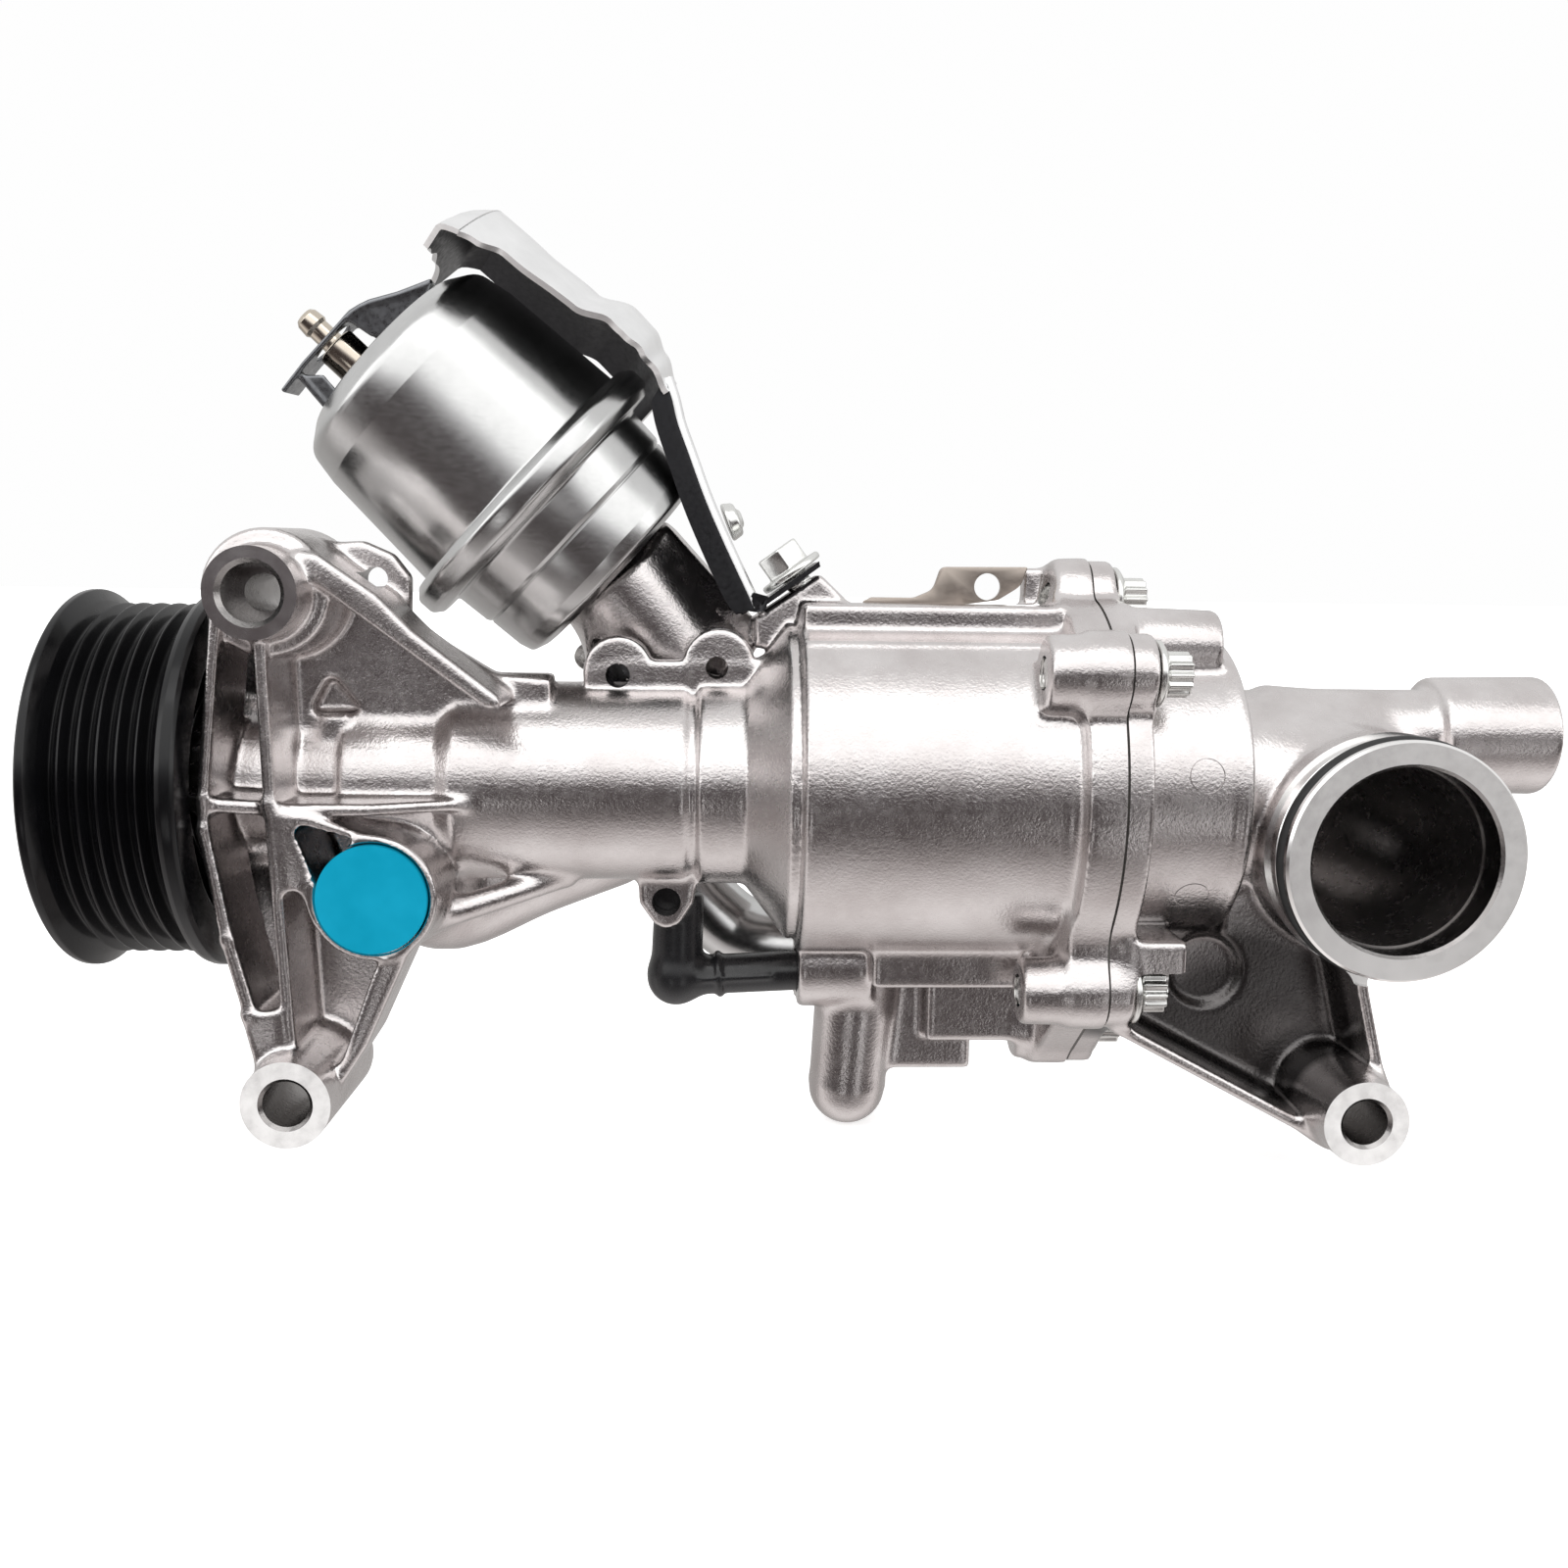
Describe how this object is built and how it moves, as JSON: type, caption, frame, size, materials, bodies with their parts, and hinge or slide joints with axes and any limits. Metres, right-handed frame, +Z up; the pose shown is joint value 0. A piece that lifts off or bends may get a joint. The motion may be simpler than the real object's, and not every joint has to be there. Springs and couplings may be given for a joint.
{
  "type": "water pump",
  "caption": "Belt-driven engine coolant pump: cast body on a long shaft neck, ribbed pulley, suction elbow and heater stub, mounting arms and a vacuum-operated shut-off valve.",
  "frame": {"origin": "on the shaft axis at the front end of the shaft, flush with the pulley's outer face", "axes": "+X along the shaft towards the suction end, -Y towards the engine (the machined mounting faces), +Z up"},
  "size_m": [0.306, 0.0835, 0.1945],
  "materials": {
    "cast_aluminium": "die-cast grain, satin, with bright machined faces",
    "black_paint": "gloss black coating",
    "bright_steel": "drawn and brushed",
    "zinc_steel": "bright zinc plate",
    "shield_sheet": "stamped sheet, satin",
    "brown_sheet": "thin reflective sheet, brown tint",
    "dark_steel": "dark phosphate",
    "rubber": "matt black",
    "black_plastic": "moulded, semi-gloss",
    "blue_plastic": "moulded cap, satin",
    "brass": "polished",
    "carbon": "matt carbon"
  },
  "bodies": {
    "housing": {"pump_housing": "cast_aluminium", "pump_cover": "cast_aluminium", "valve_cover": "cast_aluminium", "front_bearing_outer_ring": "bright_steel", "rear_bearing_outer_ring": "bright_steel", "vacuum_can_upper": "bright_steel", "vacuum_can_lower": "bright_steel", "return_spring": "bright_steel", "transfer_pipe": "bright_steel", "cover_bolt_upper_front": "zinc_steel", "cover_bolt_lower_front": "zinc_steel", "cover_bolt_top": "zinc_steel", "cover_bolt_upper_rear": "zinc_steel", "cover_bolt_lower_rear": "zinc_steel", "cover_bolt_bottom": "zinc_steel", "valve_cover_screw_1": "zinc_steel", "valve_cover_screw_2": "zinc_steel", "valve_cover_screw_3": "zinc_steel", "shield_bolt": "zinc_steel", "shield_rivet": "zinc_steel", "heat_shield": "shield_sheet", "cable_tab": "brown_sheet", "port_guard": "dark_steel", "cover_gasket": "dark_steel", "inlet_o_ring": "rubber", "diaphragm": "rubber", "bypass_elbow": "black_plastic", "port_cap": "blue_plastic", "vacuum_nipple": "brass", "seal_case": "brass", "seal_carbon_ring": "carbon"},
    "rotor": {"pump_shaft": "bright_steel", "hub_flange": "dark_steel", "drive_pulley": "black_paint", "pulley_bolt_1": "zinc_steel", "pulley_bolt_2": "zinc_steel", "pulley_bolt_3": "zinc_steel", "front_bearing_inner_ring": "bright_steel", "rear_bearing_inner_ring": "bright_steel", "seal_mating_ring": "bright_steel", "impeller": "black_plastic"},
    "ball_cages": {"front_bearing_ball_cage": "brass", "rear_bearing_ball_cage": "brass"},
    "rod": {"push_rod": "bright_steel", "diaphragm_plate": "dark_steel"},
    "valve": {"valve_spindle": "dark_steel"}
  },
  "joints": [
    {"name": "shaft_spin", "type": "hinge", "parent": "housing", "child": "rotor", "pos_m": [0, 0, 0], "axis": [1, 0, 0], "continuous": true},
    {"name": "cage_spin", "type": "hinge", "parent": "housing", "child": "ball_cages", "pos_m": [0, 0, 0], "axis": [1, 0, 0], "continuous": true},
    {"name": "rod_slide", "type": "slide", "parent": "housing", "child": "rod", "axis": [-0.7277, -0.0993, 0.6786], "range_m": [0, 0.008], "stiffness_N_per_m": 1500, "springref_m": -0.006, "deforming": ["return_spring", "diaphragm"]},
    {"name": "valve_turn", "type": "hinge", "parent": "housing", "child": "valve", "pos_m": [0.11021, 0.01397, 0.02422], "axis": [0.0726, -0.9951, -0.0677], "range_deg": [0, 42]}
  ],
  "couplings": [
    {"joint": "cage_spin", "follows": "shaft_spin", "ratio": 0.41},
    {"joint": "valve_turn", "follows": "rod_slide", "rad_per_m": 90.9}
  ]
}
